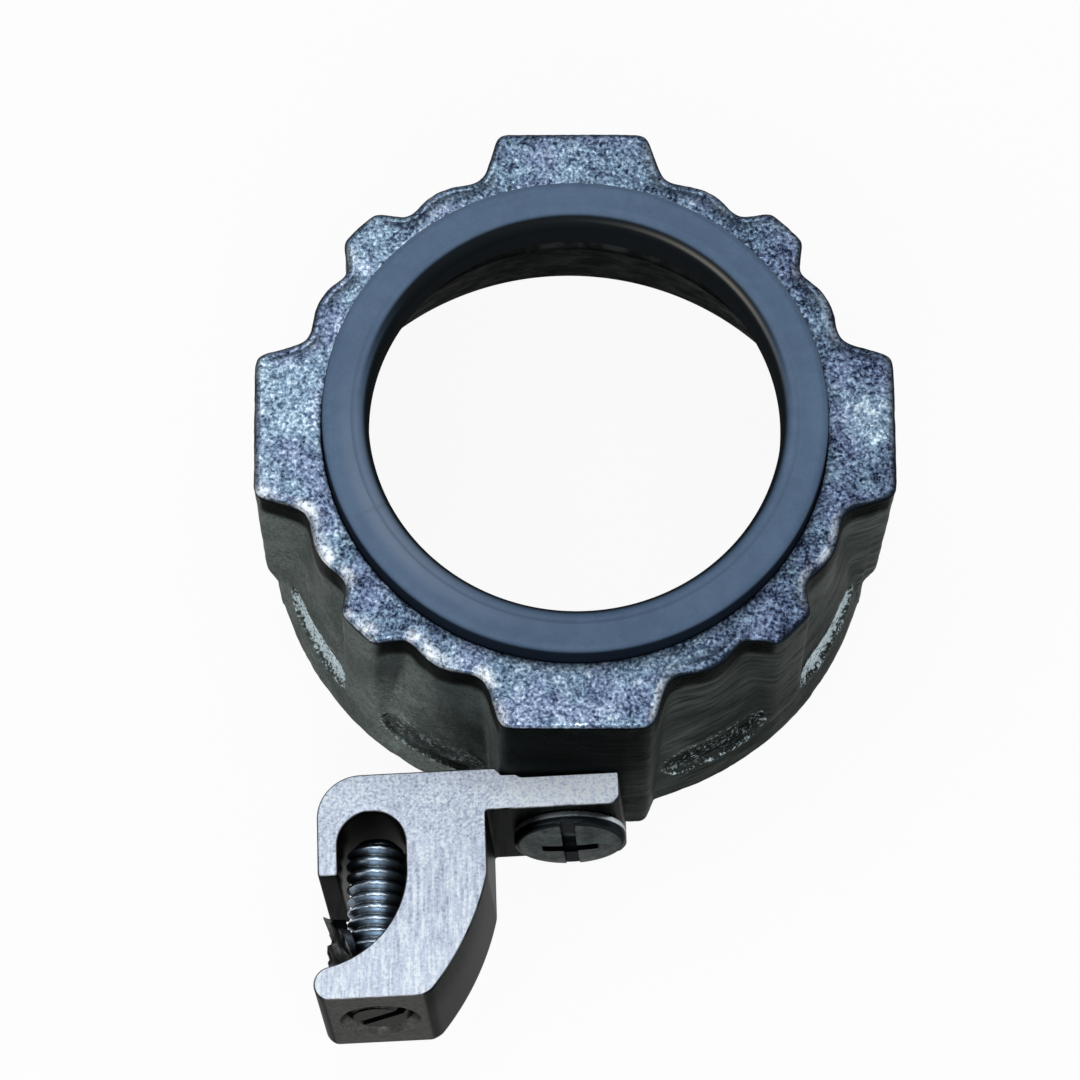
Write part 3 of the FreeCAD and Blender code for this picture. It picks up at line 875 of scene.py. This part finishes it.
def spread(tree, value, low, high, to_low=0.0, to_high=1.0):
    """A number eased from one range to another, and held at the ends."""
    return add_node(tree, "ShaderNodeMapRange", {"interpolation_type": "SMOOTHSTEP"},
                    i0=value, i1=low, i2=high, i3=to_low, i4=to_high).outputs[0]


def noise(tree, place, scale, detail, roughness=0.5):
    """Soft noise at a place, from 0 to 1."""
    values = {"Vector": place, "Scale": scale, "Detail": detail, "Roughness": roughness}
    return add_node(tree, "ShaderNodeTexNoise", **values).outputs[0]


def stretched(tree, place, scale, turn=(0, 0, 0)):
    """A place turned and scaled, so that a pattern on it is drawn out."""
    return add_node(tree, "ShaderNodeMapping", Vector=place, Scale=scale, Rotation=turn).outputs[0]


def bumped(tree, height, strength, distance):
    """Normals of a surface that a height roughens, the distance in metres."""
    return add_node(tree, "ShaderNodeBump", Strength=strength, Distance=distance, Height=height).outputs[0]


def mark_of(tree, name):
    """A mark that a piece carries on its points."""
    return add_node(tree, "ShaderNodeAttribute", {"attribute_name": name}).outputs["Fac"]


def new_group(name, numbers, results):
    """A node group that takes a place and named numbers with their defaults, and puts out named numbers."""
    tree = bpy.data.node_groups.new(name, "ShaderNodeTree")
    tree.interface.new_socket(name="Place", in_out="INPUT", socket_type="NodeSocketVector")
    for key, default in numbers.items():
        made = tree.interface.new_socket(name=key, in_out="INPUT", socket_type="NodeSocketFloat")
        made.default_value = default
    for key in results:
        tree.interface.new_socket(name=key, in_out="OUTPUT", socket_type="NodeSocketFloat")
    return tree, tree.nodes.new("NodeGroupInput").outputs, tree.nodes.new("NodeGroupOutput").inputs


def use_group(tree, group, **values):
    """The outputs of a node group placed in a material with its own values."""
    return add_node(tree, "ShaderNodeGroup", {"node_tree": group}, **values).outputs


def mottle_group():
    """Crystals: fine noise and a random level per small cell, over broader patches, as a grain mask and a
    height."""
    numbers = {"Fine": 2600.0, "Patch": 420.0, "Patch Share": 0.4}
    tree, enter, leave = new_group("metal_mottle", numbers, ("Grain", "Height"))
    fine = noise(tree, enter["Place"], enter["Fine"], 2.0, 0.55)
    patch = noise(tree, enter["Place"], enter["Patch"], 3.0, 0.6)
    cell = add_node(tree, "ShaderNodeTexVoronoi", Vector=enter["Place"], Scale=enter["Fine"])
    level = add_node(tree, "ShaderNodeSeparateColor", i0=cell.outputs["Color"]).outputs[0]
    small = blend_value(tree, 0.42, spread(tree, fine, 0.3, 0.7), level)
    grain = blend_value(tree, enter["Patch Share"], small, spread(tree, patch, 0.3, 0.7))
    tree.links.new(grain, leave["Grain"])
    tree.links.new(blend_value(tree, 0.3, fine, level), leave["Height"])
    return tree


def rub_and_glint_group():
    """Bright rubbed edges, which on the casting are a painted highlight: an edge mark broken up by noise."""
    tree, enter, leave = new_group("rubbed_edge_and_glint", {"Mark": 0.0, "Size": 160.0}, ("Rub And Glint",))
    broken = spread(tree, noise(tree, enter["Place"], enter["Size"], 4.0, 0.6), 0.36, 0.56)
    tree.links.new(times(tree, enter["Mark"], broken), leave["Rub And Glint"])
    return tree


def new_material(name, **constants):
    """A material with one Principled shader, its constant sockets set on it, and the piece's own
    coordinates."""
    material = bpy.data.materials.new(name)
    material.use_nodes = True
    tree = material.node_tree
    shader = tree.nodes["Principled BSDF"]
    for key, value in constants.items():
        shader.inputs[key.replace("_", " ")].default_value = value
    place = add_node(tree, "ShaderNodeTexCoord").outputs["Object"]
    return material, tree, shader, place


def drive(tree, shader, **values):
    """Links what changes over the surface to the shader's inputs."""
    for key, value in values.items():
        tree.links.new(value, shader.inputs[key.replace("_", " ")])


def casting_finish(mottle, rub_and_glint):
    """Plated casting: crystals from navy to pale sky blue on the top face, with painted light and shade by
    direction, dull olive walls with faint drawn lines and painted light and shade, rounded edges darkened
    as painted shade with painted highlights in places, and painted shade in recesses and under the rim.
    Pocket floors take a painted silvery reflection where the grain passes a level that the pocket mark
    lowers, so that a weak mark leaves a few painted glints, and are less metallic there."""
    material, tree, shader, place = new_material("plated_casting", Specular_Tint=(0.45, 0.45, 0.45, 1))
    names = ("top", "edge", "rub_and_glint", "painted_shade", "pocket", "crystal_tone_and_light", "wall_light_and_shade", "drawn")
    top, edge, rim_glint, painted_shade, pocket, crystal_tone_and_light, wall_light_and_shade, drawn = (mark_of(tree, name) for name in names)
    grains = use_group(tree, mottle, Place=place, Fine=3100.0, Patch=520.0, Patch_Share=0.24)
    grain = grains["Grain"]
    level = plus(tree, grain, times(tree, math_node(tree, "SUBTRACT", crystal_tone_and_light, 0.5), 1.2))
    sparkle = ramp(tree, level, [
        (0.1, (0.012, 0.018, 0.036)), (0.32, (0.075, 0.11, 0.175)), (0.52, (0.165, 0.245, 0.345)),
        (0.72, (0.29, 0.41, 0.52)), (0.95, (0.62, 0.74, 0.8))])
    hue = spread(tree, noise(tree, place, 210.0, 2.0), 0.42, 0.62, 0.0, 0.8)
    sparkle = blend_colour(tree, hue, sparkle, (1.0, 0.88, 1.0, 1), "MULTIPLY")
    streaks = noise(tree, stretched(tree, place, (0.3, 0.3, 2.2)), 700.0, 4.0, 0.62)
    cloud = spread(tree, noise(tree, place, 150.0, 3.0), 0.35, 0.65, 0.45, 1.1)
    lines = times(tree, blend_value(tree, drawn, grain, spread(tree, streaks, 0.3, 0.7)), cloud)
    dull = blend_colour(tree, lines, (0.028, 0.035, 0.033, 1), (0.096, 0.112, 0.104, 1))
    # Painted light and shade on the dull wall.
    dull = add_node(tree, "ShaderNodeVectorMath", {"operation": "SCALE"}, i0=dull, i3=wall_light_and_shade).outputs[0]
    # Painted silvery reflection and glints on the pocket floors.
    floor_glint = spread(tree, plus(tree, grain, times(tree, pocket, 0.52)), 0.62, 1.06)
    floor_glint = times(tree, floor_glint, spread(tree, pocket, 0.0, 0.2))
    wall = blend_colour(tree, floor_glint, dull, (0.64, 0.78, 0.82, 1))
    colour = blend_colour(tree, top, wall, sparkle)
    # Painted shade on the rounded edges and beside them on the top face.
    colour = tinted(tree, colour, edge, 0.88, (0.011, 0.017, 0.028, 1))
    # Painted shade in recesses, under the rim, above the lug and inside.
    colour = tinted(tree, colour, painted_shade, 0.97, (0.003, 0.0035, 0.0035, 1))
    # Painted highlight on the edges, broken up by noise and grain.
    edge_rub_and_glint = use_group(tree, rub_and_glint, Place=place, Mark=rim_glint, Size=300.0)["Rub And Glint"]
    edge_rub_and_glint = times(tree, edge_rub_and_glint, spread(tree, grain, 0.15, 0.6, 0.3, 1.0))
    colour = blend_colour(tree, edge_rub_and_glint, colour, (0.87, 0.92, 0.97, 1))
    below_top = math_node(tree, "SUBTRACT", 1.0, top)
    metal = spread(tree, times(tree, floor_glint, below_top), 0, 1, 1.0, 0.2)
    rough = math_node(tree, "SUBTRACT", spread(tree, top, 0, 1, 0.52, 0.47), times(tree, grain, 0.12))
    height = blend_value(tree, top, times(tree, streaks, drawn), grains["Height"])
    normal = bumped(tree, height, 0.5, 0.00018)
    drive(tree, shader, Base_Color=colour, Metallic=metal, Roughness=rough, Normal=normal)
    return material


def bore_finish(mottle):
    """The casting's unplated inside: near black as painted shade, a little patchy."""
    material, tree, shader, place = new_material(
        "shaded_bore", Metallic=1.0, Specular_Tint=(0.35, 0.35, 0.35, 1))
    grime = use_group(tree, mottle, Place=place, Fine=900.0, Patch=260.0, Patch_Share=0.6)
    patches = spread(tree, grime["Grain"], 0.3, 0.8)
    # Painted shade: the bore's colour is kept near black.
    colour = blend_colour(tree, patches, (0.011, 0.0122, 0.0122, 1), (0.02, 0.0225, 0.0225, 1))
    rough = spread(tree, grime["Grain"], 0, 1, 0.7, 0.5)
    drive(tree, shader, Base_Color=colour, Roughness=rough, Normal=bumped(tree, grime["Height"], 0.4, 0.0002))
    return material


def liner_finish(mottle):
    """Satin moulded plastic, blue-grey, with a faint flow pattern and a painted pale sheen, darkened as
    painted shade where it turns down into the throat and at its outer wall, where it also loses its gloss,
    with a crease darkened as painted shade, a dark knit line and a painted gleam on the lip."""
    material, tree, shader, place = new_material(
        "moulded_liner", Specular_IOR_Level=0.0, Coat_Roughness=0.5, Coat_IOR=1.4)
    names = ("pale", "crease", "outside", "inside", "gleam")
    pale, crease, outside, inside, gleam = (mark_of(tree, name) for name in names)
    skin = use_group(tree, mottle, Place=place, Fine=3600.0, Patch=600.0, Patch_Share=0.5)
    flow = plus(tree, times(tree, noise(tree, place, 85.0, 4.0, 0.6), 0.7), times(tree, skin["Grain"], 0.3))
    flow = spread(tree, flow, 0.3, 0.7)
    tint = blend_colour(tree, flow, (0.071, 0.122, 0.205, 1), (0.093, 0.151, 0.244, 1))
    # Painted light and shade: a pale sheen to one side, shade in the crease with the knit line darkened too,
    # on the outer wall and in the throat, and a gleam on the lip.
    tint = tinted(tree, tint, pale, 0.5, (0.19, 0.235, 0.31, 1))
    tint = tinted(tree, tint, crease, 0.2, (0.03, 0.045, 0.07, 1))
    tint = tinted(tree, tint, outside, 0.95, (0.006, 0.009, 0.015, 1))
    tint = tinted(tree, tint, inside, 0.97, (0.008, 0.0095, 0.0095, 1))
    tint = tinted(tree, tint, gleam, 0.6, (0.3, 0.285, 0.25, 1))
    rough = spread(tree, skin["Grain"], 0, 1, 0.46, 0.56)
    coat = spread(tree, math_node(tree, "MAXIMUM", inside, outside), 0.1, 0.9, 0.85, 0.04)
    drive(tree, shader, Base_Color=tint, Roughness=rough, Coat_Weight=coat,
          Normal=bumped(tree, skin["Height"], 0.3, 0.00004))
    return material


def lug_finish(mottle, rub_and_glint):
    """Sawn aluminium: pale, little metallic ends with fine saw lines and bright flecks, with painted light
    that makes them palest on the tang and lighter to the front, and drawn sides darkened as painted shade,
    with bright broken edges. The front face is speckled and lighter as painted light, the arm's bowed side
    has a painted sheen and the channel is darkest as painted shade."""
    material, tree, shader, place = new_material("sawn_aluminium", Specular_Tint=(0.5, 0.5, 0.5, 1))
    names = ("sawn", "edge", "bowed", "ahead", "deep")
    sawn, edge, bowed, ahead, deep = (mark_of(tree, name) for name in names)
    across, along, _ = add_node(tree, "ShaderNodeSeparateXYZ", Vector=place).outputs
    saw = noise(tree, stretched(tree, place, (1, 0.12, 0.5), (0, 0, math.radians(-6))), 2600.0, 3.0, 0.6)
    fleck = use_group(tree, mottle, Place=place, Fine=3400.0, Patch=330.0, Patch_Share=0.08)
    share = spread(tree, along, -0.044, -0.036, 0.5, 0.85)
    lines = blend_value(tree, share, spread(tree, saw, 0.3, 0.7), fleck["Grain"])
    # Painted light: the sawn end is made lighter towards the front and on the tang, where the lobe shades it.
    lines = plus(tree, lines, spread(tree, along, -0.056, -0.04, 0.1, 0.0))
    lines = plus(tree, lines, spread(tree, across, -0.011, -0.004, 0.0, 0.24))
    bright = ramp(tree, lines, [
        (0.1, (0.31, 0.34, 0.45)), (0.36, (0.56, 0.62, 0.76)), (0.58, (0.69, 0.76, 0.88)),
        (0.82, (0.88, 0.945, 1.0))])
    grain = noise(tree, stretched(tree, place, (1, 1, 0.08)), 1500.0, 3.0, 0.6)
    drawn = spread(tree, grain, 0.3, 0.7)
    # Painted shade: the drawn sides are near black.
    dark = blend_colour(tree, drawn, (0.008, 0.0085, 0.0085, 1), (0.018, 0.019, 0.019, 1))
    # Painted sheen low on the arm's bowed side.
    dark = blend_colour(tree, bowed, dark, (0.045, 0.045, 0.044, 1))
    # Painted light: the front face is lighter than the sides.
    speckle = spread(tree, fleck["Height"], 0.35, 0.65)
    front = blend_colour(tree, speckle, (0.066, 0.066, 0.062, 1), (0.098, 0.098, 0.092, 1))
    dark = blend_colour(tree, ahead, dark, front)
    # Painted shade in the channel.
    dark = blend_colour(tree, deep, dark, (0.0045, 0.0048, 0.005, 1))
    colour = blend_colour(tree, sawn, dark, bright)
    edge_rub_and_glint = use_group(tree, rub_and_glint, Place=place, Mark=edge, Size=300.0)["Rub And Glint"]
    colour = tinted(tree, colour, edge_rub_and_glint, 0.5, (0.5, 0.52, 0.56, 1))
    rough = spread(tree, sawn, 0, 1, 0.4, 0.6)
    # The tang is also less metallic, so that it looks lighter.
    metal = spread(tree, sawn, 0, 1, 1.0, spread(tree, across, -0.011, -0.004, 0.25, 0.04))
    height = blend_value(tree, sawn, times(tree, grain, 0.3), lines)
    normal = bumped(tree, height, 0.35, 0.0001)
    drive(tree, shader, Base_Color=colour, Roughness=rough, Metallic=metal, Normal=normal)
    return material


def screw_finish(mottle, name, groove_shade, dark, light):
    """Plated screw steel, darkened as painted shade in the thread's grooves and in the recesses cut in an end
    or a head, and with a painted highlight where the crest mark is highest."""
    material, tree, shader, place = new_material(name, Metallic=1.0, Specular_Tint=(0.5, 0.5, 0.5, 1))
    crest = mark_of(tree, "crest")
    skin = use_group(tree, mottle, Place=place, Fine=1700.0, Patch=420.0, Patch_Share=0.5)
    colour = blend_colour(tree, skin["Grain"], dark, light)
    # Painted shade where the crest mark is low.
    colour = blend_colour(tree, spread(tree, crest, 0.0, 0.75), groove_shade, colour)
    # Painted highlight where the crest mark is highest.
    colour = blend_colour(tree, spread(tree, crest, 0.82, 1.0, 0.0, 0.65), colour, (0.8, 0.88, 0.94, 1))
    rough = spread(tree, skin["Grain"], 0, 1, 0.38, 0.26)
    drive(tree, shader, Base_Color=colour, Roughness=rough, Normal=bumped(tree, skin["Height"], 0.2, 0.00006))
    return material


def pale_floor():
    """A flat floor just under the part, which takes shadows and is seen nearly white, also in
    reflections."""
    size = 3.0
    mesh = bpy.data.meshes.new("floor")
    corners = [(-size, -size, 0), (size, -size, 0), (size, size, 0), (-size, size, 0)]
    mesh.from_pydata(corners, [], [(0, 1, 2, 3)])
    floor = bpy.data.objects.new("floor", mesh)
    bpy.context.scene.collection.objects.link(floor)
    floor.location.z = -0.0001
    paint = bpy.data.materials.new("pale_floor")
    paint.use_nodes = True
    tree = paint.node_tree
    tree.nodes.remove(tree.nodes["Principled BSDF"])
    matt = add_node(tree, "ShaderNodeBsdfDiffuse", Color=(0.86, 0.86, 0.86, 1)).outputs[0]
    white = add_node(tree, "ShaderNodeEmission", Color=(1, 1, 1, 1), Strength=1.0).outputs[0]
    path = add_node(tree, "ShaderNodeLightPath").outputs
    mirrored = math_node(tree, "MAXIMUM", path["Is Glossy Ray"], path["Is Transmission Ray"])
    seen = times(tree, math_node(tree, "MAXIMUM", path["Is Camera Ray"], mirrored), 0.93)
    mix = add_node(tree, "ShaderNodeMixShader", i0=seen, i1=matt, i2=white)
    tree.links.new(mix.outputs[0], tree.nodes["Material Output"].inputs["Surface"])
    mesh.materials.append(paint)


def studio():
    """Pale floor, soft lamps and the camera of the photograph: far off, high in front, a little rolled."""
    scene = bpy.context.scene
    pale_floor()
    scene.world = bpy.data.worlds.new("studio")
    scene.world.use_nodes = True
    sky = scene.world.node_tree.nodes["Background"].inputs
    sky["Color"].default_value = (0.93, 0.96, 1.0, 1)
    sky["Strength"].default_value = 0.32

    for name, spot, aim, width, height, power, colour in LAMPS:
        data = bpy.data.lights.new(name, "AREA")
        data.shape = "RECTANGLE"
        data.size, data.size_y, data.energy, data.color = width, height, power, colour
        lamp = bpy.data.objects.new(name, data)
        lamp.location = spot
        lamp.rotation_mode = "QUATERNION"
        lamp.rotation_quaternion = (Vector(aim) - Vector(spot)).to_track_quat("-Z", "Y")
        scene.collection.objects.link(lamp)

    tilt, roll, spin = (math.radians(a) for a in (CAMERA_TILT, CAMERA_ROLL, CAMERA_SPIN))
    turn = Matrix.Rotation(spin, 3, "Z")
    back_way = turn @ Vector((0, -math.cos(tilt), math.sin(tilt)))
    right = turn @ Vector((1, 0, 0))
    up = turn @ Vector((0, math.sin(tilt), math.cos(tilt)))
    x_axis = right * math.cos(roll) - up * math.sin(roll)
    y_axis = right * math.sin(roll) + up * math.cos(roll)
    data = bpy.data.cameras.new("camera")
    data.lens, data.sensor_width = CAMERA_LENS, 36.0
    data.clip_start, data.clip_end = 0.01, 20.0
    camera = bpy.data.objects.new("camera", data)
    pose = Matrix((x_axis, y_axis, back_way)).transposed().to_4x4()
    pose.translation = (turn @ Vector(CAMERA_AIM) + back_way * CAMERA_DISTANCE) * MM
    camera.matrix_world = pose
    scene.collection.objects.link(camera)
    scene.camera = camera
    scene.view_settings.view_transform = "Standard"


mottle = mottle_group()
rub_and_glint = rub_and_glint_group()
cast_skin().data.materials.append(casting_finish(mottle, rub_and_glint))
conduit_thread().data.materials.append(bore_finish(mottle))
liner_ring().data.materials.append(liner_finish(mottle))
lug_metal = lug_finish(mottle, rub_and_glint)
sawn_lug().data.materials.append(lug_metal)
tap_burr().data.materials.append(lug_metal)
rod_steel = screw_finish(mottle, "rod_steel", groove_shade=(0.045, 0.046, 0.043, 1),
                         dark=(0.32, 0.42, 0.52, 1), light=(0.72, 0.86, 1.0, 1))
head_steel = screw_finish(mottle, "head_steel", groove_shade=(0.011, 0.013, 0.016, 1),
                          dark=(0.03, 0.036, 0.036, 1), light=(0.115, 0.135, 0.13, 1))
clamp_screw().data.materials.append(rod_steel)
lug_screw().data.materials.append(head_steel)
studio()
